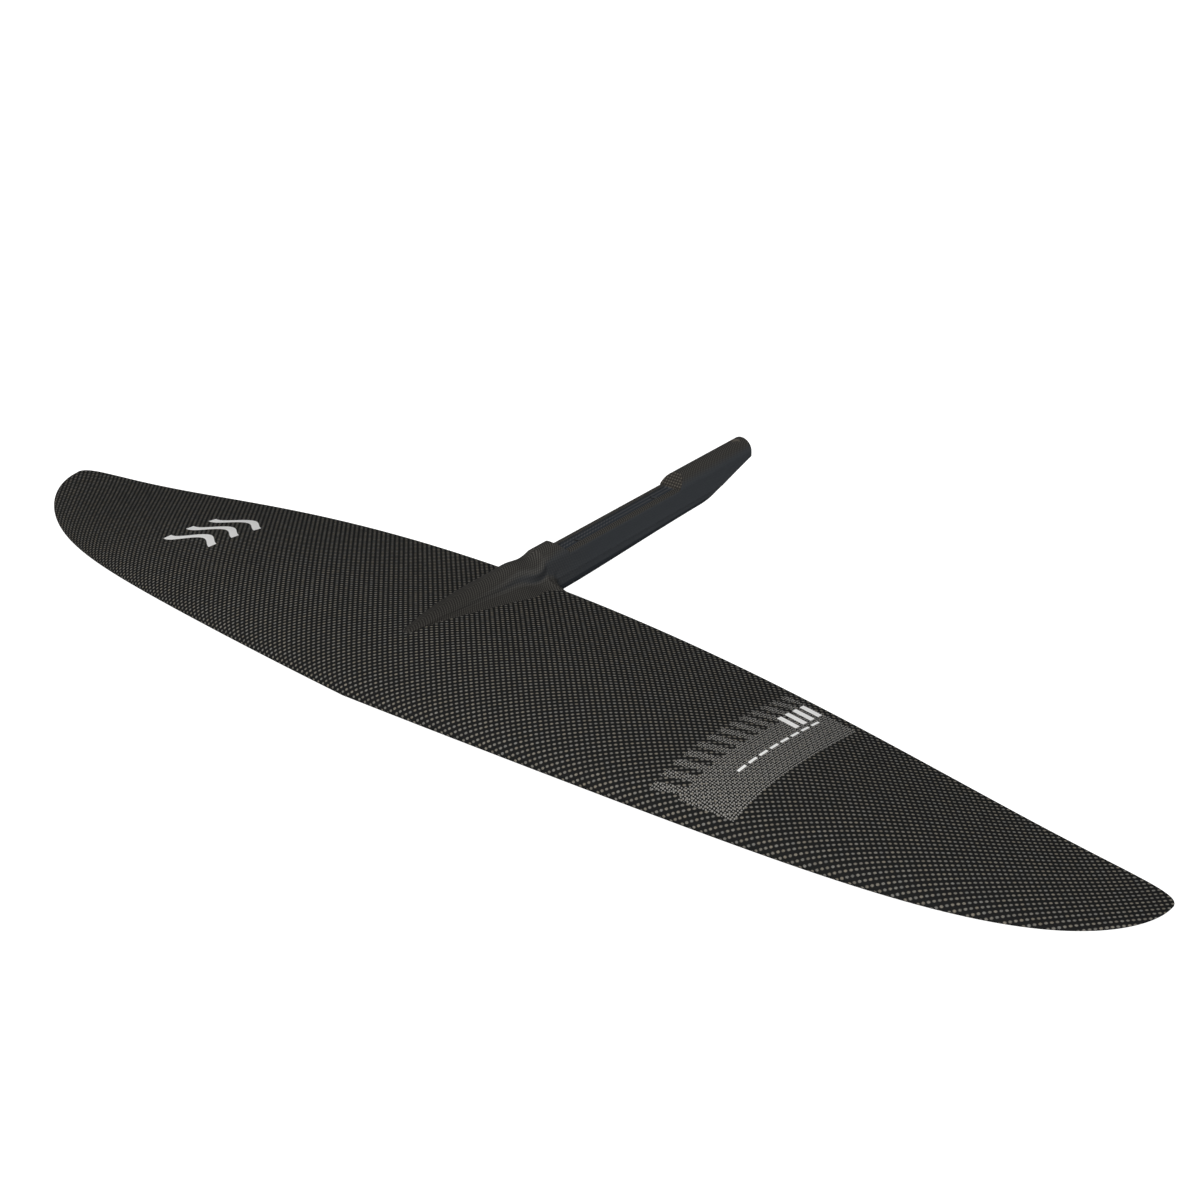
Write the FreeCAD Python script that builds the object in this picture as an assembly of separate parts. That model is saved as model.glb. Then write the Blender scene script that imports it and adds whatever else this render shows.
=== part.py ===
import FreeCAD, Part
import math
import os

# A moulded carbon hydrofoil front wing with its fuselage, millimetres.
# X runs along the span to the right, Y runs aft towards the tail, Z is up towards the mast.
# The origin is the centre of the two mast bolt holes, on the floor of the mast groove.

V = FreeCAD.Vector

# wing planform and section
HALF_SPAN = 558.0
ROOT_CHORD = 212.6
TRAILING_Y = -101.4
WING_Z = -17.3
EDGE_THICKNESS = 0.9
SKIN = 1.6
BOND = 0.05
TIP_LIMIT = 0.9994
CORE_LIMIT = 0.94
SECTION_POINTS = 15
UPPER_SHAPE = ((0.221, 0.157, -0.325), (0.270, -0.031, -0.146), (0.184, 0.100, -0.288))
LOWER_SHAPE = ((0.130, 0.0, -0.050), (0.060, 0.0, -0.020), (0.020, 0.0, 0.0))

# chordwise borders between the pieces inside the wing, as parts of the chord
LEADING_START = 0.012
LEADING_END = 0.07
SPAR_START = 0.26
SPAR_END = 0.42
TRAILING_START = 0.84
TRAILING_END = 0.985
CAP_THICKNESS = 1.2
ROOT_BLOCK_HALF = 26.0

# fuselage
BODY_HALF_WIDTH = 11.0
GROOVE_DEPTH = 1.5
SEAT_Z = GROOVE_DEPTH
BODY_TOP = SEAT_Z + 9.7
TAIL_Y = 178.0
NOSE_Y = -262.0
SHELL = 2.2
BELLY_ROUND = 7.0
FILLET_BASE = 31.0
FILLET_BURIAL = 0.8
FILLET_EDGE = 0.3
RAMP_START_Y = 96.0
RAMP_START_Z = -27.3
RAMP_SLOPE = math.radians(15.7)
SPLIT_Z = WING_Z + 1.0
LOWER_FILLER_Y = -212.0

# mast recess and groove
RECESS_HALF = 73.2
RECESS_RAMP = 10.0
RIM_ROUND = 2.6
GROOVE_WIDTH = 10.6
BOLT_SPACING = 100.0
BOLT_HOLE_R = 3.25
SLEEVE_R = 5.2
COLLAR_R = 7.0
COLLAR_T = 4.0
POCKET_R = 7.4

# stabilizer fixing in the tail
INSERT_YS = (138.0, 168.0)
INSERT_R = 4.5
INSERT_HOLE_R = 2.5
INSERT_LENGTH = 12.0
TOP_HOLE_R = 4.0
TAIL_BLOCK_Y = 112.0

# printed marks on the upper skin
FILM = 0.12
FILM_GAP = 0.06
BAND_X = (246.0, 306.0)
BAND_S = (0.06, 0.955)


# ---------------------------------------------------------------- wing law

def chord(t):
    root = math.sqrt(max(0.0, 1.0 - t * t))
    return root * (ROOT_CHORD - 26.5 * t + 16.9 * t ** 6)


def trailing_edge_y(t):
    bend = 1.0 - math.sqrt(max(0.0, 1.0 - t * t))
    return TRAILING_Y - 3.0 * t ** 2 - 13.7 * bend ** 2 - 8.9 * bend ** 4


def middle_z(t):
    return WING_Z - 73.9 * t ** 2 - 15.2 * t ** 4 + 41.8 * t ** 6


def nose_drop(t):
    return -0.0106 + 0.0025 * t ** 2 - 0.0413 * t ** 4


def section_height(shape, t, s):
    """Height of one side of the section above its chord line, as a class and shape curve."""
    a, b, c = [k[0] + k[1] * t ** 2 + k[2] * t ** 4 for k in shape]
    shape_value = a * (1 - s) ** 2 + 2 * b * s * (1 - s) + c * s * s
    return chord(t) * math.sqrt(s) * (1 - s) * shape_value + 0.5 * EDGE_THICKNESS * s


def upper(t, s):
    return section_height(UPPER_SHAPE, t, s)


def lower(t, s):
    return -section_height(LOWER_SHAPE, t, s)


def inside(height):
    """The skin's inner face: the skin thins out smoothly towards both edges."""
    return height * abs(height) / (abs(height) + SKIN)


def upper_inner(t, s):
    return inside(upper(t, s))


def lower_inner(t, s):
    return inside(lower(t, s))


def wing_point(x, s, height):
    t = abs(x) / HALF_SPAN
    width = chord(t)
    y = trailing_edge_y(t) - width * (1 - s)
    z = middle_z(t) + nose_drop(t) * width * (0.5 - s) + height
    return V(x, y, z)


def stations(x0, x1):
    """Spanwise stations, spaced by angle so that they close up towards the tips."""
    a0 = math.asin(x0 / HALF_SPAN)
    a1 = math.asin(x1 / HALF_SPAN)
    count = max(3, int(math.ceil(abs(a1 - a0) / math.radians(9.0))) + 1)
    return [HALF_SPAN * math.sin(a0 + (a1 - a0) * i / (count - 1)) for i in range(count)]


def spline(points):
    curve = Part.BSplineCurve()
    curve.interpolate(points)
    return curve.toShape()


def region(x_range, s0, s1, top, bottom):
    """A solid between two height laws, from chord fraction s0 to s1, lofted along the span."""
    last = SECTION_POINTS - 1
    fractions = [s0 + (s1 - s0) * 0.5 * (1 - math.cos(math.pi * i / last)) for i in range(SECTION_POINTS)]
    wires = []
    for x in stations(*x_range):
        t = abs(x) / HALF_SPAN
        roof = [wing_point(x, s, top(t, s)) for s in fractions]
        floor = [wing_point(x, s, bottom(t, s)) for s in reversed(fractions)]
        edges = [spline(roof)]
        if roof[-1].distanceToPoint(floor[0]) > 1e-3:
            edges.append(Part.makeLine(roof[-1], floor[0]))
        edges.append(spline(floor))
        if floor[-1].distanceToPoint(roof[0]) > 1e-3:
            edges.append(Part.makeLine(floor[-1], roof[0]))
        wires.append(Part.Wire(edges))
    return Part.makeLoft(wires, True, False)


# ---------------------------------------------------------------- wing pieces

def wing_pieces():
    tip = HALF_SPAN * TIP_LIMIT
    core = HALF_SPAN * CORE_LIMIT
    full = (-tip, tip)

    def core_top(t, s):
        return upper_inner(t, s) - BOND

    def core_bottom(t, s):
        return lower_inner(t, s) + BOND

    def cap_under(t, s):
        return core_top(t, s) - CAP_THICKNESS

    def cap_over(t, s):
        return core_bottom(t, s) + CAP_THICKNESS

    def spar_top(t, s):
        return cap_under(t, s) - BOND

    def spar_bottom(t, s):
        return cap_over(t, s) + BOND

    gap = 0.0005
    inner = (-core, core)
    right = (ROOT_BLOCK_HALF, core)
    left = (-core, -ROOT_BLOCK_HALF)
    middle = (-ROOT_BLOCK_HALF + BOND, ROOT_BLOCK_HALF - BOND)
    right_tip = (core + BOND, HALF_SPAN * 0.992)
    left_tip = (-right_tip[1], -right_tip[0])
    front = (LEADING_END + gap, SPAR_START - gap)
    back = (SPAR_END + gap, TRAILING_START - gap)
    tip_chord = (LEADING_START + 0.03, TRAILING_END - 0.03)
    return {
        "wing_upper_skin": region(full, 0.0, 1.0, upper, upper_inner),
        "wing_lower_skin": region(full, 0.0, 1.0, lower_inner, lower),
        "leading_edge_filler": region(inner, LEADING_START, LEADING_END, core_top, core_bottom),
        "front_core_right": region(right, front[0], front[1], core_top, core_bottom),
        "front_core_left": region(left, front[0], front[1], core_top, core_bottom),
        "root_block_front": region(middle, front[0], front[1], core_top, core_bottom),
        "spar_cap_upper": region(inner, SPAR_START, SPAR_END, core_top, cap_under),
        "spar_cap_lower": region(inner, SPAR_START, SPAR_END, cap_over, core_bottom),
        "spar_core": region(inner, SPAR_START, SPAR_END, spar_top, spar_bottom),
        "rear_core_right": region(right, back[0], back[1], core_top, core_bottom),
        "rear_core_left": region(left, back[0], back[1], core_top, core_bottom),
        "root_block_rear": region(middle, back[0], back[1], core_top, core_bottom),
        "trailing_edge_strip": region(inner, TRAILING_START, TRAILING_END, core_top, core_bottom),
        "tip_block_right": region(right_tip, tip_chord[0], tip_chord[1], core_top, core_bottom),
        "tip_block_left": region(left_tip, tip_chord[0], tip_chord[1], core_top, core_bottom),
    }


def wing_envelope():
    tip = HALF_SPAN * TIP_LIMIT
    return region((-tip, tip), 0.0, 1.0, upper, lower)


# ---------------------------------------------------------------- fuselage law

def along(value, table):
    """The value of a line that runs straight between the rows of (place, value)."""
    if value <= table[0][0]:
        return table[0][1]
    for (p0, v0), (p1, v1) in zip(table, table[1:]):
        if value <= p1:
            return v0 + (v1 - v0) * (value - p0) / (p1 - p0)
    return table[-1][1]


# ridge height of the top, depth of the belly, half width of the body, half width where it meets the wing,
# and how late the sides start to flare
TOP_LINE = ((NOSE_Y, -5.5), (-243.0, 3.1), (-215.0, 6.5), (-180.0, 8.9), (-140.0, 10.5), (-100.0, BODY_TOP))
BELLY_LINE = ((NOSE_Y, -25.5), (-235.0, -28.5), (-200.0, -31.0), (-150.0, -32.9),
              (-66.0, -32.6), (19.0, -29.9), (82.0, -27.9), (TAIL_Y, -25.0))
WIDTH_LINE = ((NOSE_Y, 3.0), (-243.0, 4.0), (-229.0, 6.4), (-216.0, 8.2),
              (-200.0, 9.6), (-183.0, 10.5), (-165.0, BODY_HALF_WIDTH))
FILLET_LINE = ((-243.0, 4.0), (-236.0, 5.4), (-229.0, 7.2), (-222.0, 9.4), (-208.0, 13.7), (-200.0, 15.8),
               (-183.0, 19.5), (-165.0, 22.7), (-147.0, 25.8), (-128.0, 28.5), (TRAILING_Y, FILLET_BASE),
               (-97.0, 20.0), (-92.5, 13.5), (-87.0, BODY_HALF_WIDTH + 0.3))
FLARE_LINE = ((-229.0, 2.2), (-183.0, 2.4), (-147.0, 3.0), (-128.0, 3.8), (TRAILING_Y, 5.5), (-87.0, 8.0))


def wing_top_z(x, y):
    """Height of the wing's upper surface, or of its trailing edge behind the wing."""
    t = abs(x) / HALF_SPAN
    s = min(1.0, 1.0 + (y - trailing_edge_y(t)) / chord(t))
    return wing_point(x, s, upper(t, s)).z


def fuselage_section(y, inset):
    """Closed section at y: domed top, sides that flare onto the wing, rounded belly."""
    half = along(y, WIDTH_LINE) - inset
    top = along(y, TOP_LINE) - inset
    belly = along(y, BELLY_LINE) + inset
    base = max(half + 0.05, along(y, FILLET_LINE) - inset)
    upper_edge = min(wing_top_z(base, y) - FILLET_BURIAL - inset, top - 0.5 * half)
    upper_edge = max(upper_edge, SPLIT_Z + FILLET_EDGE)
    lower_edge = SPLIT_Z - FILLET_EDGE
    shoulder = top - min(half, 0.45 * (top - upper_edge))
    hip = belly + min(BELLY_ROUND, 0.6 * (lower_edge - belly))

    def at(x, z):
        return V(x, y, z)

    def dome(side):
        angles = [math.pi * 0.5 * i / 6 for i in range(7)]
        return [at(side * half * math.sin(a), shoulder + (top - shoulder) * math.cos(a)) for a in angles]

    def flare(side, z0, z1):
        power = along(y, FLARE_LINE)
        steps = [1 - (1 - i / 7.0) ** 2 for i in range(8)]
        return [at(side * (half + (base - half) * f ** power), z0 + (z1 - z0) * f) for f in steps]

    def keel(side):
        angles = [math.pi * 0.5 * i / 6 for i in range(7)]
        return [at(side * half * math.sin(a), hip - (hip - belly) * math.cos(a)) for a in angles]

    edges = [
        spline(dome(-1)[::-1] + dome(1)[1:]),
        spline(flare(1, shoulder, upper_edge)),
        Part.makeLine(at(base, upper_edge), at(base, lower_edge)),
        spline(flare(1, hip, lower_edge)[::-1]),
        spline(keel(1)[::-1] + keel(-1)[1:]),
        spline(flare(-1, hip, lower_edge)),
        Part.makeLine(at(-base, lower_edge), at(-base, upper_edge)),
        spline(flare(-1, shoulder, upper_edge)[::-1]),
    ]
    return Part.Wire(edges)


FRONT_STATIONS = (NOSE_Y, -252.0, -243.0, -236.0, -229.0, -222.0, -208.0, -200.0,
                  -183.0, -165.0, -147.0, -128.0, TRAILING_Y)
COLLAR_STATIONS = (TRAILING_Y, -97.0, -92.5, -87.0)
BODY_STATIONS = (-87.0, -66.0, 19.0, 82.0, TAIL_Y)


def fuselage_envelope(inset, y_end):
    stretches = (FRONT_STATIONS, COLLAR_STATIONS, BODY_STATIONS[:-1] + (y_end,))
    body = None
    for stretch in stretches:
        loft = Part.makeLoft([fuselage_section(y, inset) for y in stretch], True, False)
        body = loft if body is None else body.fuse(loft)
    return body


def ramp_z(y):
    return RAMP_START_Z + (y - RAMP_START_Y) * math.tan(RAMP_SLOPE)


def below_ramp(offset):
    """The wedge under the tail that the flat stabilizer seat cuts away."""
    far = TAIL_Y + 30.0
    lift = offset / math.cos(RAMP_SLOPE)
    corners = [V(-60, RAMP_START_Y - 30, ramp_z(RAMP_START_Y - 30) + lift), V(-60, far, ramp_z(far) + lift),
               V(-60, far, -90), V(-60, RAMP_START_Y - 30, -90)]
    face = Part.Face(Part.makePolygon(corners + corners[:1]))
    return face.extrude(V(120, 0, 0))


def sloped_slot(half_width, half_length, z0, height):
    """A slot along Y whose floor lies at z0 and whose two ends slope like the recess ramps."""
    run = height * RECESS_RAMP / (BODY_TOP - SEAT_Z)
    corners = [V(-half_width, -half_length, z0), V(-half_width, half_length, z0),
               V(-half_width, half_length + run, z0 + height), V(-half_width, -half_length - run, z0 + height)]
    face = Part.Face(Part.makePolygon(corners + corners[:1]))
    return face.extrude(V(2 * half_width, 0, 0))


def recess(offset):
    """Everything above the mast seat between the two bosses, whose ends slope."""
    return sloped_slot(60.0, RECESS_HALF + offset, SEAT_Z - offset, 30.0)


def groove(offset):
    """The shallow channel along the seat that the tongue of the mast's foot drops into."""
    half_length = RECESS_HALF - GROOVE_DEPTH * RECESS_RAMP / (BODY_TOP - SEAT_Z)
    return sloped_slot(GROOVE_WIDTH / 2 + offset, half_length + offset, -offset, 20.0)


def rim_rounding(side):
    """The bar to cut away so that the seat's outer edge is rounded."""
    x0 = BODY_HALF_WIDTH - RIM_ROUND
    z0 = SEAT_Z - RIM_ROUND
    y = -RECESS_HALF
    middle = V(side * (x0 + RIM_ROUND * math.sin(math.pi / 4)), y, z0 + RIM_ROUND * math.cos(math.pi / 4))
    arc = Part.Arc(V(side * x0, y, SEAT_Z), middle, V(side * BODY_HALF_WIDTH, y, z0)).toShape()
    corners = [V(side * BODY_HALF_WIDTH, y, z0), V(side * (BODY_HALF_WIDTH + 1), y, z0),
               V(side * (BODY_HALF_WIDTH + 1), y, SEAT_Z + 1), V(side * x0, y, SEAT_Z + 1),
               V(side * x0, y, SEAT_Z)]
    wire = Part.Wire([arc] + Part.makePolygon(corners).Edges)
    return Part.Face(wire).extrude(V(0, 2 * RECESS_HALF, 0))


def slab(y0, y1, z0, z1):
    return Part.makeBox(200, y1 - y0, z1 - z0, V(-100, y0, z0))


def belly_at(y):
    return along(y, BELLY_LINE)


def bolt_ys():
    return (-BOLT_SPACING / 2, BOLT_SPACING / 2)


def collar_z(y):
    return belly_at(y) + 3.4


def mast_sleeve(y):
    """A steel sleeve with a collar that the countersunk bolt head seats in."""
    z0 = collar_z(y)
    z1 = -SHELL - BOND
    profile = [V(BOLT_HOLE_R, y, z1), V(BOLT_HOLE_R, y, z0 + COLLAR_T), V(COLLAR_R - 0.6, y, z0),
               V(COLLAR_R, y, z0), V(COLLAR_R, y, z0 + COLLAR_T), V(SLEEVE_R, y, z0 + COLLAR_T),
               V(SLEEVE_R, y, z1)]
    face = Part.Face(Part.makePolygon(profile + profile[:1]))
    return face.revolve(V(0, y, 0), V(0, 0, 1), 360)


def insert_z(y):
    return ramp_z(y + INSERT_R) + 0.4


def stabilizer_insert(y):
    outer = Part.makeCylinder(INSERT_R - BOND, INSERT_LENGTH, V(0, y, insert_z(y)))
    hole = Part.makeCylinder(INSERT_HOLE_R, INSERT_LENGTH, V(0, y, insert_z(y)))
    return outer.cut(hole)


# ---------------------------------------------------------------- fuselage pieces

def fuselage_pieces(wing):
    outer = fuselage_envelope(0.0, TAIL_Y)
    hollow = fuselage_envelope(SHELL, TAIL_Y - SHELL)
    outer = outer.cut(below_ramp(0.0)).cut(recess(0.0)).cut(groove(0.0))
    outer = outer.cut(rim_rounding(-1)).cut(rim_rounding(1))
    hollow = hollow.cut(below_ramp(SHELL)).cut(recess(SHELL)).cut(groove(SHELL))

    drills = []
    for y in bolt_ys():
        drills.append(Part.makeCylinder(BOLT_HOLE_R, 20, V(0, y, -10)))
        drills.append(Part.makeCylinder(POCKET_R, 40, V(0, y, collar_z(y) + COLLAR_T + BOND - 40)))
    drills.append(Part.makeCylinder(TOP_HOLE_R, 40, V(0, INSERT_YS[1], 0)))
    for y in INSERT_YS:
        drills.append(Part.makeCylinder(INSERT_R, 40, V(0, y, insert_z(y) + INSERT_LENGTH + BOND - 40)))

    shell = outer.cut(hollow)
    for cutter in [wing] + drills:
        shell = shell.cut(cutter)
    filling = hollow.cut(wing)

    for y in bolt_ys():
        bottom = collar_z(y) + COLLAR_T + BOND
        filling = filling.cut(Part.makeCylinder(SLEEVE_R + BOND, -bottom, V(0, y, bottom)))
    for cutter in drills:
        filling = filling.cut(cutter)

    seat_front = -RECESS_HALF - RECESS_RAMP - SHELL
    high = slab(NOSE_Y - 5, TAIL_Y + 5, SPLIT_Z + BOND, 60)
    low = slab(NOSE_Y - 5, TAIL_Y + 5, -60, SPLIT_Z)
    nose_high = slab(NOSE_Y - 5, seat_front, SPLIT_Z + BOND, 60)
    nose_low = slab(LOWER_FILLER_Y, seat_front, -60, SPLIT_Z)
    return {
        "fuselage_upper_skin": shell.common(high),
        "fuselage_lower_skin": shell.common(low),
        "upper_root_filler": filling.common(nose_high),
        "lower_root_filler": filling.common(nose_low),
        "mast_block": filling.common(slab(seat_front + BOND, TAIL_BLOCK_Y, -60, 60)),
        "tail_block": filling.common(slab(TAIL_BLOCK_Y + BOND, TAIL_Y + 5, -60, 60)),
        "mast_bolt_sleeves": Part.makeCompound([mast_sleeve(y) for y in bolt_ys()]),
        "stabilizer_inserts": Part.makeCompound([stabilizer_insert(y) for y in INSERT_YS]),
    }


# ---------------------------------------------------------------- printed marks

def film(x_range, y_range, level):
    """A thin film that follows the wing's top between two straight lines across the chord."""
    low = FILM_GAP + level * (FILM + FILM_GAP)

    def wire(x):
        t = abs(x) / HALF_SPAN
        nose = trailing_edge_y(t) - chord(t)
        y0, y1 = y_range(x)
        fractions = [((y0 + (y1 - y0) * i / 8.0) - nose) / chord(t) for i in range(9)]
        roof = [wing_point(x, s, upper(t, s) + low + FILM) for s in fractions]
        floor = [wing_point(x, s, upper(t, s) + low) for s in reversed(fractions)]
        rear = Part.makeLine(roof[-1], floor[0])
        front = Part.makeLine(floor[-1], roof[0])
        return Part.Wire([spline(roof), rear, spline(floor), front])

    count = 9
    xs = [x_range[0] + (x_range[1] - x_range[0]) * i / (count - 1) for i in range(count)]
    return Part.makeLoft([wire(x) for x in xs], True, False)


def band_y(x):
    t = abs(x) / HALF_SPAN
    nose = trailing_edge_y(t) - chord(t)
    return nose + BAND_S[0] * chord(t), nose + BAND_S[1] * chord(t)


def printed_marks():
    marks = {"mesh_band": film(BAND_X, band_y, 0)}
    dashes = []
    for i in range(8):
        start = -222.0 + 12.8 * i
        dashes.append(film((281.4, 283.4), lambda x, y0=start: (y0, y0 + 9.0), 1))
    marks["dash_line"] = Part.makeCompound(dashes)
    bars = []
    for i in range(4):
        start = -146.0 + 9.6 * i
        bars.append(film((262.0, 278.0), lambda x, y0=start: (y0, y0 + 5.0), 1))
    marks["size_bars"] = Part.makeCompound(bars)
    waves = []
    for i in range(3):
        centre = -208.0 + 24.0 * i
        waves.append(film((-313.0, -254.0), lambda x, c=centre: (c - 4 + 7 * math.sin(0.107 * x),
                                                                 c + 4 + 7 * math.sin(0.107 * x)), 0))
    marks["wave_emblem"] = Part.makeCompound(waves)
    return marks


def main():
    os.makedirs("parts", exist_ok=True)
    pieces = wing_pieces()
    pieces.update(fuselage_pieces(wing_envelope()))
    pieces.update(printed_marks())
    for name, shape in pieces.items():
        print(name, "valid", shape.isValid(), "solids", len(shape.Solids), "volume", round(shape.Volume))
        shape.exportStep("parts/" + name + ".step")


main()
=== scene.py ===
import math

import bmesh
import bpy
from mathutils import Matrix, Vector


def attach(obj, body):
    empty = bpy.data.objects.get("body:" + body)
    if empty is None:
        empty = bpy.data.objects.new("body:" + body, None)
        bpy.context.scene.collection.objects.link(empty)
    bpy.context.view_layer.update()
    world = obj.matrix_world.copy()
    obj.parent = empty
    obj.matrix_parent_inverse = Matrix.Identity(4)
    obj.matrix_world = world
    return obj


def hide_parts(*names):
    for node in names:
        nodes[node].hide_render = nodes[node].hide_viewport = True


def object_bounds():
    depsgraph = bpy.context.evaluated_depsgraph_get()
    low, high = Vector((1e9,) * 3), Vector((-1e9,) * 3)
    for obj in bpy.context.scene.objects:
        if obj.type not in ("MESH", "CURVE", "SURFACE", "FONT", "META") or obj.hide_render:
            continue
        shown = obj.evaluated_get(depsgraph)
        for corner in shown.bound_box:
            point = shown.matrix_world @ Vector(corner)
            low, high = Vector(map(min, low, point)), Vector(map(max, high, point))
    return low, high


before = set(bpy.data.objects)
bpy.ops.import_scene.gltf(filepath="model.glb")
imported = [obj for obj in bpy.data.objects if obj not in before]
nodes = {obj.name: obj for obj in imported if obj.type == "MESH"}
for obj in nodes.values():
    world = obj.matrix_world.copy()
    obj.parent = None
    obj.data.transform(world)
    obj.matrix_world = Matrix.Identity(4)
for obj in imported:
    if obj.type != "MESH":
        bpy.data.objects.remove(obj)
cad_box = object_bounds()


# ---------------------------------------------------------------- wing skins
# The two outer skins of the wing: coarse plain-weave carbon cloth, laid in a female mould
# and cured with the cores, so the weave shows through a thin satin resin.
# Each skin is one shell that thins out to the moulding line at the leading and trailing edges.

half_span = 0.558
root_chord = 0.2126
trailing_y = -0.1014
wing_z = -0.0173
edge_thickness = 0.0009
skin_thickness = 0.0016
upper_shape = ((0.221, 0.157, -0.325), (0.270, -0.031, -0.146), (0.184, 0.100, -0.288))
lower_shape = ((0.130, 0.0, -0.050), (0.060, 0.0, -0.020), (0.020, 0.0, 0.0))
span_steps = 150
chord_steps = 44


def chord(t):
    """Chord at t, which goes from 0 in the middle of the wing to 1 at a tip."""
    return math.sqrt(max(0.0, 1 - t * t)) * (root_chord - 0.0265 * t + 0.0169 * t ** 6)


def trailing_edge_y(t):
    """The trailing edge is almost straight, and curves forward close to the tips."""
    bend = 1 - math.sqrt(max(0.0, 1 - t * t))
    return trailing_y - 0.003 * t ** 2 - 0.0137 * bend ** 2 - 0.0089 * bend ** 4


def camber_height(shape, t, s):
    """Height of a face off the chord line at s, which goes from 0 at the nose to 1 at the trailing edge."""
    front, middle, back = [k[0] + k[1] * t ** 2 + k[2] * t ** 4 for k in shape]
    fullness = front * (1 - s) ** 2 + 2 * middle * s * (1 - s) + back * s * s
    return chord(t) * math.sqrt(s) * (1 - s) * fullness + 0.5 * edge_thickness * s


def upper_height(t, s):
    return camber_height(upper_shape, t, s)


def lower_height(t, s):
    return -camber_height(lower_shape, t, s)


def inner_face(height):
    """The skin's full thickness where the wing is thick, and less and less towards its edges."""
    return height * abs(height) / (abs(height) + skin_thickness)


def on_wing(x, s, height):
    """Point at x along the span, s along the chord and height off the chord line, on a wing that droops."""
    t = min(1.0, abs(x) / half_span)
    middle = wing_z - 0.0739 * t ** 2 - 0.0152 * t ** 4 + 0.0418 * t ** 6
    droop = -0.0106 + 0.0025 * t ** 2 - 0.0413 * t ** 4
    y = trailing_edge_y(t) - chord(t) * (1 - s)
    return Vector((x, y, middle + droop * chord(t) * (0.5 - s) + height))


def finished(shape, name, sharp=35):
    """Turn a bmesh into a smooth-shaded object at the origin, its faces outward."""
    bmesh.ops.recalc_face_normals(shape, faces=shape.faces)
    mesh = bpy.data.meshes.new(name)
    shape.to_mesh(mesh)
    shape.free()
    mesh.shade_smooth()
    mesh.set_sharp_from_angle(angle=math.radians(sharp))
    piece = bpy.data.objects.new(name, mesh)
    bpy.context.scene.collection.objects.link(piece)
    return piece


def cloth_runs(x, t, height):
    """Distance over the outer face from the trailing edge to each chord step, at one place on the span."""
    places = []
    for step in range(chord_steps + 1):
        s = (1 - step / chord_steps) ** 2
        places.append(on_wing(x, s, height(t, s)))
    runs = [0.0]
    for before, after in zip(places, places[1:]):
        runs.append(runs[-1] + (after - before).length)
    return runs


def lay_skin(name, height):
    """One skin: a sheet wrapped from the trailing edge round the nose and back along its inner face."""
    shape = bmesh.new()
    cloth = shape.verts.layers.float.new("cloth_run")
    around = 2 * chord_steps + 1
    runs = {}
    bmesh.ops.create_grid(shape, x_segments=span_steps, y_segments=around, size=1)
    for vert in shape.verts:
        column = round((vert.co.x + 1) / 2 * span_steps)
        x = half_span * math.sin(vert.co.x * math.pi / 2)
        t = min(1.0, abs(x) / half_span)
        step = round((vert.co.y + 1) / 2 * around)
        s = (1 - min(step, 2 * chord_steps) / chord_steps) ** 2
        if column not in runs:
            runs[column] = cloth_runs(x, t, height)
        run = runs[column][min(step, abs(2 * chord_steps - step))] if step < around else 0.0
        vert[cloth] = trailing_edge_y(t) - run
        if step <= chord_steps or step == around:
            s = 1.0 if step == around else s
            vert.co = on_wing(x, s, height(t, s))
        else:
            vert.co = on_wing(x, s, inner_face(height(t, s)))
    bmesh.ops.remove_doubles(shape, verts=shape.verts, dist=2e-7)
    return finished(shape, name)


class Ply:
    """A value in a finish, so that its shader maths reads as plain arithmetic."""

    def __init__(self, tree, socket):
        self.tree = tree
        self.socket = socket

    def node(self, kind, settings, sockets, out=0):
        made = self.tree.nodes.new(kind)
        for key, value in settings.items():
            setattr(made, key, value)
        for key, value in sockets.items():
            if isinstance(value, Ply):
                self.tree.links.new(value.socket, made.inputs[key])
            else:
                made.inputs[key].default_value = value
        return Ply(self.tree, made.outputs[out])

    def maths(self, operation, *values):
        sockets = {place: value for place, value in enumerate(values)}
        return self.node("ShaderNodeMath", {"operation": operation}, sockets)

    def __add__(self, other):
        return self.maths("ADD", self, other)

    def __sub__(self, other):
        return self.maths("SUBTRACT", self, other)

    def __rsub__(self, other):
        return self.maths("SUBTRACT", other, self)

    def __mul__(self, other):
        return self.maths("MULTIPLY", self, other)

    def __truediv__(self, other):
        return self.maths("DIVIDE", self, other)

    def __pow__(self, other):
        return self.maths("POWER", self, other)

    __radd__ = __add__
    __rmul__ = __mul__

    def fract(self):
        return self.maths("FRACT", self)

    def floor(self):
        return self.maths("FLOOR", self)

    def size(self):
        return self.maths("ABSOLUTE", self)

    def step(self, low, high):
        """0 below low, 1 above high, smooth between them."""
        settings = {"interpolation_type": "SMOOTHSTEP"}
        return self.node("ShaderNodeMapRange", settings, {"Value": self, "From Min": low, "From Max": high})

    def blend(self, first, second):
        """Colour that goes from first to second as this value goes from 0 to 1."""
        picked = {"Factor": self, 6: first, 7: second}
        return self.node("ShaderNodeMix", {"data_type": "RGBA"}, picked, 2)


def new_finish(name, **settings):
    """A material with its shader's uniform settings, and the place on the object in metres."""
    finish = bpy.data.materials.new(name)
    finish.use_nodes = True
    tree = finish.node_tree
    shader = tree.nodes["Principled BSDF"]
    for key, value in settings.items():
        shader.inputs[key.replace("_", " ")].default_value = value
    place = Ply(tree, None).node("ShaderNodeTexCoord", {}, {}, 3)
    return finish, shader, place


def join(value, socket):
    value.tree.links.new(value.socket, socket)


def xyz(place):
    return [Ply(place.tree, None).node("ShaderNodeSeparateXYZ", {}, {0: place}, i) for i in range(3)]


def bumped(height, distance, strength=1.0):
    return height.node("ShaderNodeBump", {}, {"Height": height, "Distance": distance, "Strength": strength})


tow_width = 0.002645
tow_length = 0.002695
# length and width of the painted highlight on each tow, in parts of a tow
glint_length = 0.76
glint_width = 0.53


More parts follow.
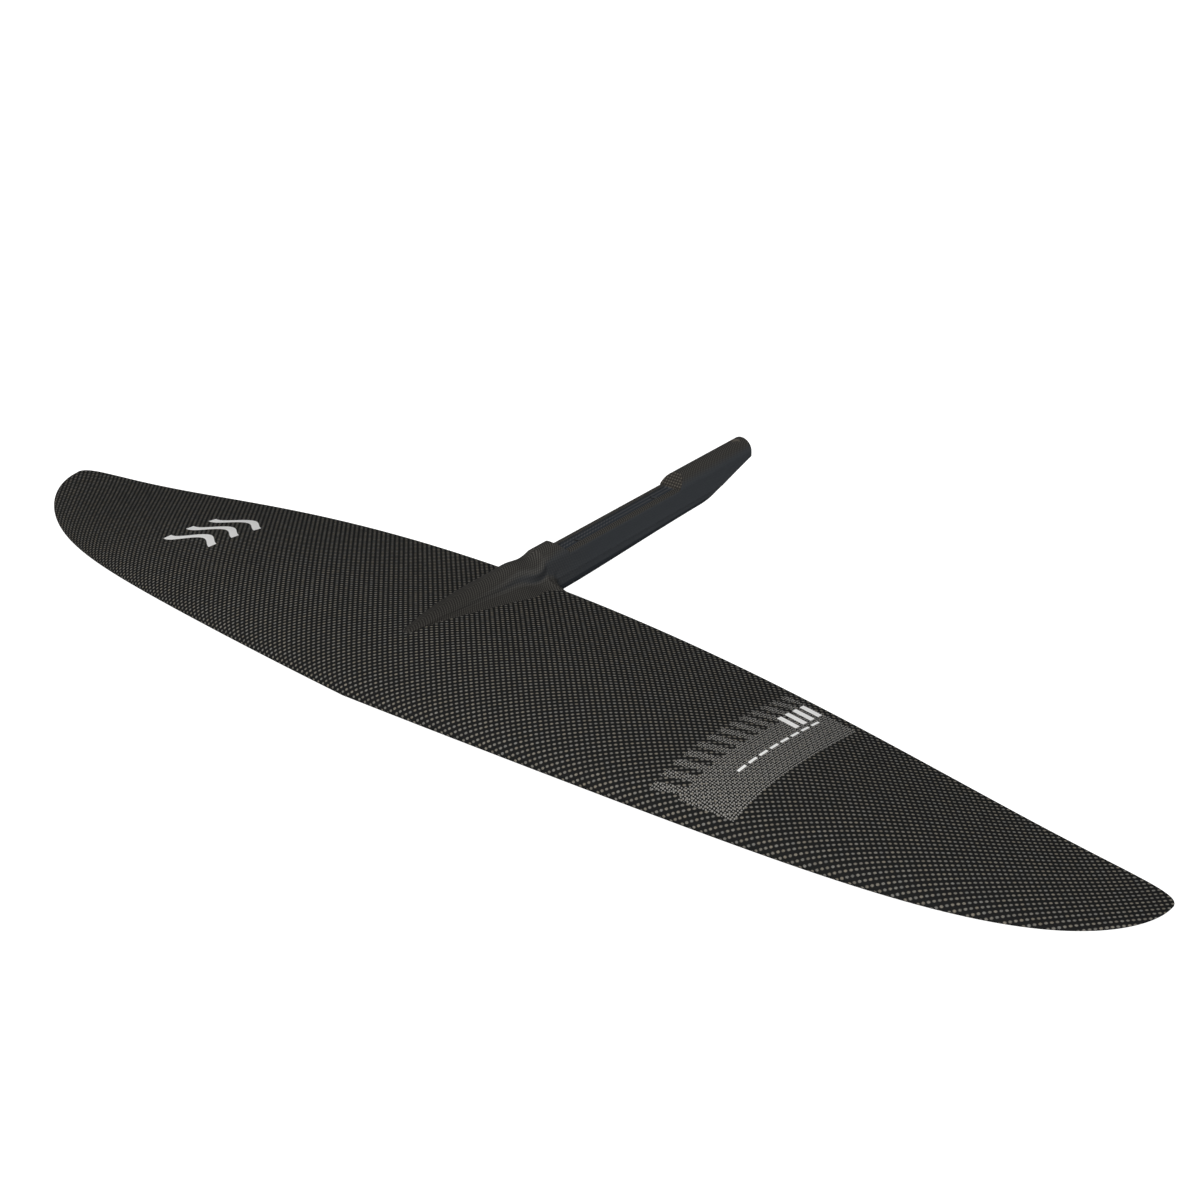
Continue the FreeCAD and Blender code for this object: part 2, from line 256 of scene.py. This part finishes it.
def coarse_weave():
    """Plain weave of flat tows seen through satin resin, with a painted highlight: every other tow crossing
    has a lens-shaped glint put into its base colour.
    """
    finish, shader, place = new_finish("coarse_weave_carbon", IOR=1.45, Specular_IOR_Level=0.012)
    x = xyz(place)[0]
    run = place.node("ShaderNodeAttribute", {"attribute_name": "cloth_run"}, {}, 2)
    across = x / tow_width
    along = run / tow_length
    column = across.floor()
    row = along.floor()
    odd = ((column + row) * 0.5).fract() * 2.0
    u = across.fract() - 0.5
    v = along.fract() - 0.5
    long_way = (u + v) / glint_length
    short_way = (v - u) / glint_width
    spot = (long_way * long_way + short_way * short_way) ** 0.5
    painted_glint = 1.0 - spot.step(0.35, 1.15)
    pillow = (1.0 - ((u * 2.0).size() ** 3.0)) * (1.0 - ((v * 2.0).size() ** 3.0))
    cell = place.node("ShaderNodeCombineXYZ", {}, {0: column, 1: row})
    chance = cell.node("ShaderNodeTexWhiteNoise", {"noise_dimensions": "2D"}, {"Vector": cell})
    tint = cell.node("ShaderNodeTexWhiteNoise", {"noise_dimensions": "3D"}, {"Vector": cell})
    strands = place.node("ShaderNodeMapping", {}, {"Vector": place, "Scale": (0.12, 1.6, 0.5)})
    fibre = strands.node("ShaderNodeTexNoise", {}, {"Vector": strands, "Scale": 2200.0, "Detail": 2.0})
    cloud = place.node("ShaderNodeTexNoise", {}, {"Vector": place, "Scale": 9.0, "Detail": 2.0})
    warm = tint.blend((0.205, 0.186, 0.154, 1), (0.180, 0.178, 0.170, 1))
    strand_shade = fibre.step(0.25, 0.75).blend((0.72, 0.72, 0.72, 1), (1.2, 1.2, 1.2, 1))
    painted_shine = warm.node("ShaderNodeMix", {"data_type": "RGBA", "blend_type": "MULTIPLY"},
                      {"Factor": 1.0, 6: warm, 7: strand_shade}, 2)
    # The weave's checker is the cloth's own. The lens-shaped glints on every other tow, in a warm tint, are
    # a painted highlight in the base colour.
    level = odd * painted_glint * (0.8 + chance * 0.4) * (0.85 + cloud * 0.3)
    join(level.blend((0.0125, 0.0132, 0.0136, 1), painted_shine), shader.inputs["Base Color"])
    join(0.62 - level * 0.16 + fibre * 0.08, shader.inputs["Roughness"])
    join(bumped(pillow * (0.6 + odd * 0.4), 0.00006, 0.5), shader.inputs["Normal"])
    return finish


coarse_carbon = coarse_weave()
upper_skin = lay_skin("upper_skin", upper_height)
lower_skin = lay_skin("lower_skin", lower_height)
for skin, node in ((upper_skin, "wing_upper_skin"), (lower_skin, "wing_lower_skin")):
    skin.data.materials.append(coarse_carbon)
    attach(skin, "root")
    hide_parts(node)


# ---------------------------------------------------------------- inside the wing
# What the skins enclose: machined foam cores, a spar box with unidirectional caps, solid root blocks,
# tip blocks and edge strips. They keep their moulded CAD shapes and are glued in with thickened resin.

def dress(name, finish):
    """Give a CAD node its finish on every slot."""
    node = nodes[name]
    if not node.material_slots:
        node.data.materials.append(finish)
    for slot in node.material_slots:
        slot.material = finish


ply_thickness = 0.00025


def solid_laminate():
    """Stacked carbon plies: thin dark and less dark layers, with faint tows along the span."""
    finish, shader, place = new_finish("solid_laminate", Specular_IOR_Level=0.3)
    z = xyz(place)[2]
    layer = ((z / ply_thickness).fract() - 0.5).size() * 2.0
    drawn = place.node("ShaderNodeMapping", {}, {"Vector": place, "Scale": (0.05, 1.0, 1.0)})
    tows = drawn.node("ShaderNodeTexNoise", {}, {"Vector": drawn, "Scale": 1500.0, "Detail": 3.0})
    shade = layer * 0.35 + tows * 0.65
    join(shade.blend((0.012, 0.012, 0.013, 1), (0.075, 0.073, 0.070, 1)), shader.inputs["Base Color"])
    join(0.42 + tows * 0.2, shader.inputs["Roughness"])
    join(bumped(tows, 0.00004), shader.inputs["Normal"])
    return finish


def structural_foam():
    """Closed-cell foam, machined: pale cream with small open cells and a few larger ones."""
    finish, shader, place = new_finish("structural_foam", Specular_IOR_Level=0.2)
    cells = place.node("ShaderNodeTexVoronoi", {}, {"Vector": place, "Scale": 1400.0})
    blotch = place.node("ShaderNodeTexNoise", {}, {"Vector": place, "Scale": 35.0, "Detail": 4.0})
    shade = cells.step(0.05, 0.5) * 0.6 + blotch * 0.4
    join(shade.blend((0.46, 0.40, 0.27, 1), (0.84, 0.79, 0.64, 1)), shader.inputs["Base Color"])
    join(0.75 + blotch * 0.2, shader.inputs["Roughness"])
    join(bumped(cells, 0.0002), shader.inputs["Normal"])
    return finish


laminate = solid_laminate()
foam = structural_foam()
for name in ("front_core_right", "front_core_left", "spar_core", "rear_core_right", "rear_core_left"):
    dress(name, foam)
for name in ("leading_edge_filler", "root_block_front", "root_block_rear", "spar_cap_upper",
             "spar_cap_lower", "trailing_edge_strip", "tip_block_right", "tip_block_left"):
    dress(name, laminate)


# ---------------------------------------------------------------- fuselage shells
# The slim fuselage is moulded in two halves from a much finer cloth and faired into the wing's middle.
# Its top has the recess for the mast's foot, with a shallow channel between two rims,
# and the cloth turns over the edges of the recess, so it shows at other scales there.

channel_half = 0.0053
recess_half = 0.0732
ramp_foot = 0.0010
row_pitch = 0.0039
hatch_pitch = 0.0036
twill_pitch = 0.0023
cross_pitch = 0.0024
tail_hole_y = 0.168
tail_hole_radius = 0.0040
# top edge of the painted shade along the underside, and how it slopes along the length
belly_shade_top = -0.0215
belly_shade_slope = 0.0165


def wave(value):
    """0 to 1 and back once for every 1 that the value grows by."""
    return 0.5 - value.maths("COSINE", value * (2 * math.pi)) * 0.5


def fine_weave():
    """Fine twill, with light and shade painted into its colour by face direction and place: bluish on
    upright faces, warmer on top and darker towards the nose, lightest where the body flares on to the wing
    and darkest along the underside.
    """
    finish, shader, place = new_finish("fine_weave_carbon", IOR=1.45, Specular_IOR_Level=0.06)
    x, y, z = xyz(place)
    facing = place.node("ShaderNodeNewGeometry", {}, {}, 1)
    ny, nz = xyz(facing)[1:]
    down_side = z - x.size()
    faired = 1.0 - y.step(-0.110, -0.085)
    up = (nz * (1.0 + faired * 1.2)).step(0.1, 0.8)
    twill = wave((y - down_side * 0.55) / twill_pitch)
    cross = wave((down_side + y * 0.15) / cross_pitch)
    cloud = place.node("ShaderNodeTexNoise", {}, {"Vector": place, "Scale": 55.0, "Detail": 3.0})
    speck = place.node("ShaderNodeTexNoise", {}, {"Vector": place, "Scale": 900.0, "Detail": 1.0})
    cloth = twill * (0.55 + cross * 0.45)
    grain = cloth * 0.9 + speck * 0.1

    # top of the body and the fairing, a lit copy of the cloth: painted light. Painted shade darkens it
    # towards the nose, and a lighter copy is painted where the body flares on to the wing.
    top = grain.blend((0.0190, 0.0183, 0.0172, 1), (0.0910, 0.0880, 0.0820, 1))
    flare_painted_light = grain.blend((0.0310, 0.0312, 0.0310, 1), (0.1400, 0.1370, 0.1300, 1))
    nose = grain.blend((0.0130, 0.0125, 0.0118, 1), (0.0640, 0.0615, 0.0565, 1))
    aft_of_nose = y.step(-0.230, -0.095)
    top = aft_of_nose.blend(nose, top)
    colour = (faired * (1.0 - nz.step(0.45, 0.75)) * aft_of_nose).blend(top, flare_painted_light)

    # upright faces, in a cooler copy of the cloth: painted light by face direction. Near the wing more of
    # the cloth shows, in a lighter copy that is painted light too; the darker strip along the underside is
    # painted shade.
    side_painted_light = (cloth * 0.35 + speck * 0.2).blend((0.0500, 0.0565, 0.0650, 1), (0.0760, 0.0800, 0.0850, 1))
    near_wing_painted_light = (cloth * 0.8).blend((0.0430, 0.0465, 0.0520, 1), (0.1020, 0.1040, 0.1060, 1))
    side_painted_light = y.step(-0.110, -0.030).blend(near_wing_painted_light, side_painted_light)
    # away from the nose, faces that don't point up take these cooler colours in place of the top's: lit and
    # shaded copies of one cloth
    wall = (1.0 - up) * y.step(-0.175, -0.120)
    colour = wall.blend(colour, side_painted_light)
    # painted shade: a darker copy of the cloth along the underside
    belly_painted_shade = (cloth * 0.7 + speck * 0.1).blend((0.0250, 0.0300, 0.0370, 1), (0.0390, 0.0440, 0.0500, 1))
    above_belly_shade = (z - y * belly_shade_slope).step(belly_shade_top - 0.0014, belly_shade_top)
    colour = above_belly_shade.blend(belly_painted_shade, colour)

    # rows of tows along the channel's floor, crossed by a slanted hatch
    channel = 1.0 - x.size().step(channel_half - 0.0003, channel_half + 0.0001)
    channel = channel * (1.0 - z.size().step(0.0004, 0.0008))
    channel = channel * (1.0 - y.size().step(recess_half - 0.001, recess_half))
    rows = wave(x / row_pitch + 0.5)
    hatch = wave((y.size() - x * 1.3) / hatch_pitch)
    tows = (rows * (0.25 + hatch * 0.75)).blend((0.0240, 0.0290, 0.0370, 1), (0.0860, 0.0890, 0.0930, 1))
    colour = channel.blend(colour, tows)

    # the sloped ends of the recess, where the cloth lies open
    ramp = ny.size().step(0.3, 0.5) * z.step(ramp_foot - 0.0002, ramp_foot + 0.0004)
    ramp = ramp * (1.0 - y.size().step(0.088, 0.092))
    knots = wave(x / 0.0026) * wave((z + y * 0.3) / 0.0024)
    open_cloth = knots.blend((0.0260, 0.0245, 0.0225, 1), (0.1150, 0.1060, 0.0920, 1))
    colour = ramp.blend(colour, open_cloth)

    # the wall of the small hole in the tail's top, in a flat light colour: painted light where the hole
    # would be in shade
    off_hole = y - tail_hole_y
    away = x * x + off_hole * off_hole
    beyond_hole = away.step(tail_hole_radius ** 2, (tail_hole_radius + 0.0003) ** 2)
    hole_wall_painted_light = (1.0 - beyond_hole) * z.step(0.0, 0.001)
    colour = hole_wall_painted_light.blend(colour, (0.110, 0.102, 0.090, 1))

    join(colour, shader.inputs["Base Color"])
    join(0.50 + cloud * 0.16 - cloth * 0.06, shader.inputs["Roughness"])
    join(bumped(cloth, 0.00003, 0.5), shader.inputs["Normal"])
    return finish


fine_carbon = fine_weave()
dress("fuselage_upper_skin", fine_carbon)
dress("fuselage_lower_skin", fine_carbon)


# ---------------------------------------------------------------- inside the fuselage
# Solid laminate fills the fairing over and under the wing, the length under the mast seat and the tail,
# so that screws pull on solid material. These keep their CAD shapes too.

for name in ("upper_root_filler", "lower_root_filler", "mast_block", "tail_block"):
    dress(name, laminate)


# ---------------------------------------------------------------- screw sleeves and threaded inserts
# Turned and blackened steel: two collared sleeves that take the mast screws' countersunk heads from
# below, and two threaded inserts, bonded into the tail, for the stabilizer's screws.

def blackened_steel():
    """Dull black oxide over fine turning marks."""
    finish, shader, place = new_finish("blackened_steel", Metallic=1.0)
    tool_marks = place.node("ShaderNodeMapping", {}, {"Vector": place, "Scale": (1.0, 1.0, 22.0)})
    lines = tool_marks.node("ShaderNodeTexNoise", {}, {"Vector": tool_marks, "Scale": 300.0, "Detail": 3.0})
    stain = place.node("ShaderNodeTexNoise", {}, {"Vector": place, "Scale": 120.0, "Detail": 2.0})
    join(stain.blend((0.035, 0.035, 0.037, 1), (0.070, 0.070, 0.073, 1)), shader.inputs["Base Color"])
    join(0.50 + lines * 0.22, shader.inputs["Roughness"])
    join(bumped(lines, 0.00002), shader.inputs["Normal"])
    return finish


def turn(shape, profile, y):
    """Turn a closed outline of radius and height pairs round the upright line at y."""
    verts = [shape.verts.new((radius, y, height)) for radius, height in profile]
    edges = [shape.edges.new((verts[i - 1], verts[i])) for i in range(len(verts))]
    bmesh.ops.spin(shape, geom=verts + edges, cent=(0, y, 0), axis=(0, 0, 1), angle=2 * math.pi,
                   steps=56, use_merge=True)


sleeve_bore = 0.00325
sleeve_radius = 0.0052
collar_radius = 0.0070
collar_height = 0.0040
sleeve_top = -0.00225
sleeve_feet = ((-0.05, -0.02869), (0.05, -0.02552))
break_edge = 0.0003
steel = blackened_steel()

sleeves = bmesh.new()
for y, foot in sleeve_feet:
    turn(sleeves, ((sleeve_bore + break_edge, sleeve_top), (sleeve_bore, sleeve_top - break_edge),
                   (sleeve_bore, foot + collar_height), (collar_radius - 0.0006, foot + 0.0004),
                   (collar_radius - 0.0004, foot), (collar_radius - break_edge, foot),
                   (collar_radius, foot + break_edge), (collar_radius, foot + collar_height - break_edge),
                   (collar_radius - break_edge, foot + collar_height),
                   (sleeve_radius, foot + collar_height), (sleeve_radius, sleeve_top - break_edge),
                   (sleeve_radius - break_edge, sleeve_top)), y)
mast_sleeves = finished(sleeves, "mast_screw_sleeves", 30)

insert_radius = 0.00445
insert_bore = 0.0025
insert_length = 0.012
insert_feet = ((0.138, -0.01383), (0.168, -0.00540))
thread_pitch = 0.001
thread_depth = 0.0003
thread_turns = 11
mouth = 0.0006
inserts = bmesh.new()
for y, foot in insert_feet:
    top = foot + insert_length
    outline = [(insert_radius, foot + break_edge), (insert_radius, top - break_edge),
               (insert_radius - break_edge, top), (insert_bore + mouth, top)]
    for i in range(thread_turns):
        height = top - mouth - i * thread_pitch
        outline += [(insert_bore + thread_depth, height), (insert_bore, height - thread_pitch / 2)]
    outline += [(insert_bore + mouth, foot), (insert_radius - break_edge, foot)]
    turn(inserts, outline, y)
tail_inserts = finished(inserts, "stabilizer_thread_inserts", 30)

for piece, node in ((mast_sleeves, "mast_bolt_sleeves"), (tail_inserts, "stabilizer_inserts")):
    piece.data.materials.append(steel)
    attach(piece, "root")
    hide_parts(node)


# ---------------------------------------------------------------- printed marks
# Transfers under the last coat of resin: a silver band of fine mesh with slanted gaps along its inner edge,
# a dashed line, four size bars, and an emblem of three waves in white. Each is a film on the upper skin.

film_gap = 0.00006
film = 0.00012
band_start = 0.246
gap_pitch = 0.0128
gaps_end = 0.2655


def print_film(shape, x_range, edges_at, level, long_steps, short_steps):
    """A thin film on the upper skin, between x_range, and between the two y values that edges_at gives."""
    made = bmesh.ops.create_grid(shape, x_segments=long_steps, y_segments=short_steps, size=1)
    height = film_gap + level * (film + film_gap) + film
    for vert in made["verts"]:
        x = x_range[0] + (x_range[1] - x_range[0]) * (vert.co.x + 1) / 2
        t = abs(x) / half_span
        y0, y1 = edges_at(x)
        y = y0 + (y1 - y0) * (vert.co.y + 1) / 2
        s = 1 - (trailing_edge_y(t) - y) / chord(t)
        vert.co = on_wing(x, s, upper_height(t, s) + height)
    faces = list({face for vert in made["verts"] for face in vert.link_faces})
    bmesh.ops.recalc_face_normals(shape, faces=faces)
    if faces[0].normal.z < 0:
        bmesh.ops.reverse_faces(shape, faces=faces)
    bmesh.ops.solidify(shape, geom=faces, thickness=film)


def band_edges(x):
    """The band starts just behind the nose and stops just short of the trailing edge."""
    t = abs(x) / half_span
    nose = trailing_edge_y(t) - chord(t)
    return nose + 0.06 * chord(t), nose + 0.955 * chord(t)


def silver_mesh():
    """Silver ink in a fine open mesh: the cloth shows between the dots and through the slanted gaps."""
    finish, shader, place = new_finish("silver_mesh_print", Specular_IOR_Level=0.2, Roughness=0.5)
    x, y, z = xyz(place)
    dots = wave(x / 0.0019) * wave(y / 0.0020)
    threads = wave((x + y) / 0.0027)
    patch = place.node("ShaderNodeTexNoise", {}, {"Vector": place, "Scale": 400.0, "Detail": 1.0})
    ink = (dots * 0.85 + threads * 0.25).step(0.32, 0.58)
    slant = (y - (x - band_start) * 0.45) / gap_pitch
    gap = (slant.fract() - 0.5).size().step(0.20, 0.25)
    inner = 1.0 - x.step(gaps_end, gaps_end + 0.0008)
    cover = 1.0 - inner * (1.0 - gap)
    join(patch.blend((0.155, 0.153, 0.147, 1), (0.370, 0.366, 0.354, 1)), shader.inputs["Base Color"])
    join(ink * cover, shader.inputs["Alpha"])
    join(bumped(dots, 0.00002), shader.inputs["Normal"])
    return finish


def white_ink():
    """Opaque white ink, slightly mottled."""
    finish, shader, place = new_finish("white_print_ink", Specular_IOR_Level=0.3)
    speck = place.node("ShaderNodeTexNoise", {}, {"Vector": place, "Scale": 700.0, "Detail": 2.0})
    join(speck.blend((0.90, 0.90, 0.90, 1), (0.97, 0.97, 0.97, 1)), shader.inputs["Base Color"])
    join(0.40 + speck * 0.2, shader.inputs["Roughness"])
    join(bumped(speck, 0.00002), shader.inputs["Normal"])
    return finish


band = bmesh.new()
print_film(band, (band_start, 0.306), band_edges, 0, 24, 64)

dash_pitch = 0.0128
dashes = bmesh.new()
for i in range(8):
    start = -0.222 + dash_pitch * i
    print_film(dashes, (0.2814, 0.2834), lambda x: (start, start + 0.009), 1, 2, 6)

bar_pitch = 0.0096
bars = bmesh.new()
for i in range(4):
    start = -0.146 + bar_pitch * i
    print_film(bars, (0.262, 0.278), lambda x: (start, start + 0.005), 1, 8, 4)

wave_pitch = 0.024
wave_swing = 0.007
wave_half_width = 0.004


def wave_edges(middle):
    """The two edges of one wave of the emblem, as a function of x."""
    def edges_at(x):
        line = middle + wave_swing * math.sin(107 * x)
        return line - wave_half_width, line + wave_half_width
    return edges_at


waves = bmesh.new()
for i in range(3):
    print_film(waves, (-0.313, -0.254), wave_edges(-0.208 + wave_pitch * i), 0, 40, 4)

mesh_ink = silver_mesh()
ink = white_ink()
for shape, name, node, finish, slot in (
        (band, "silver_mesh_band", "mesh_band", mesh_ink, "silver_print"),
        (dashes, "dashed_line", "dash_line", ink, "white_print"),
        (bars, "size_marks", "size_bars", ink, "white_print"),
        (waves, "three_wave_emblem", "wave_emblem", ink, "white_print")):
    mark = finished(shape, name)
    mark.data.materials.append(finish)
    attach(mark, "root")
    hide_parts(node)


# ---------------------------------------------------------------- floor, lights and camera
# A wide sheet of pale paper, a large warm panel in front, a weak cool one on the right, and a dim room.
# Looked at directly, paper and room are white. The light they give back to the object is lower.

def soft_panel(name, place, target, size, power, colour):
    lamp = bpy.data.lights.new(name, "AREA")
    lamp.shape = "DISK"
    lamp.size = size
    lamp.energy = power
    lamp.color = colour
    panel = bpy.data.objects.new(name, lamp)
    panel.location = place
    panel.rotation_euler = (Vector(target) - Vector(place)).to_track_quat("-Z", "Y").to_euler()
    bpy.context.scene.collection.objects.link(panel)


floor_z = cad_box[0][2] - 0.0005
bed = bmesh.new()
bmesh.ops.create_circle(bed, cap_ends=True, segments=96, radius=30)
bmesh.ops.translate(bed, verts=bed.verts, vec=(0, 0, floor_z))
paper_floor = finished(bed, "studio_floor")
paper, paper_shader, paper_place = new_finish("pale_paper", Roughness=0.9, Specular_IOR_Level=0.1,
                                              Emission_Strength=1.0)
grain = paper_place.node("ShaderNodeTexNoise", {}, {"Vector": paper_place, "Scale": 40.0})
join(grain.blend((0.36, 0.36, 0.36, 1), (0.40, 0.40, 0.40, 1)), paper_shader.inputs["Base Color"])
straight = paper_place.node("ShaderNodeLightPath", {}, {}, 0)
join(straight.blend((0.0, 0.0, 0.0, 1), (1.0, 1.0, 1.0, 1)), paper_shader.inputs["Emission Color"])
paper_floor.data.materials.append(paper)

soft_panel("key_panel", (1.0, -2.6, 2.2), (0, -0.15, 0), 1.6, 105, (1.0, 0.965, 0.915))
soft_panel("side_panel", (3.0, -0.6, 1.0), (0, 0, 0), 1.4, 5, (0.90, 0.96, 1.0))

sky = bpy.data.worlds.new("studio_air")
bpy.context.scene.world = sky
sky.use_nodes = True
air = Ply(sky.node_tree, None)
seen = air.node("ShaderNodeLightPath", {}, {}, 0)
backdrop = sky.node_tree.nodes["Background"]
glossy = air.node("ShaderNodeLightPath", {}, {}, 3)
dim = glossy.blend((0.24, 0.25, 0.262, 1), (0.10, 0.105, 0.115, 1))
join(seen.blend(dim, (1.05, 1.05, 1.05, 1)), backdrop.inputs["Color"])

lens = bpy.data.cameras.new("camera")
lens.lens = 54.92
lens.sensor_width = 36
lens.shift_x = -0.0678
lens.shift_y = 0.0868
lens.clip_end = 100
camera = bpy.data.objects.new("camera", lens)
camera.location = (0.8686, -1.0608, 0.6572)
camera.rotation_euler = (math.radians(90 - 31.44), 0, math.radians(37.07))
bpy.context.scene.collection.objects.link(camera)
bpy.context.scene.camera = camera
bpy.context.scene.view_settings.view_transform = "Standard"
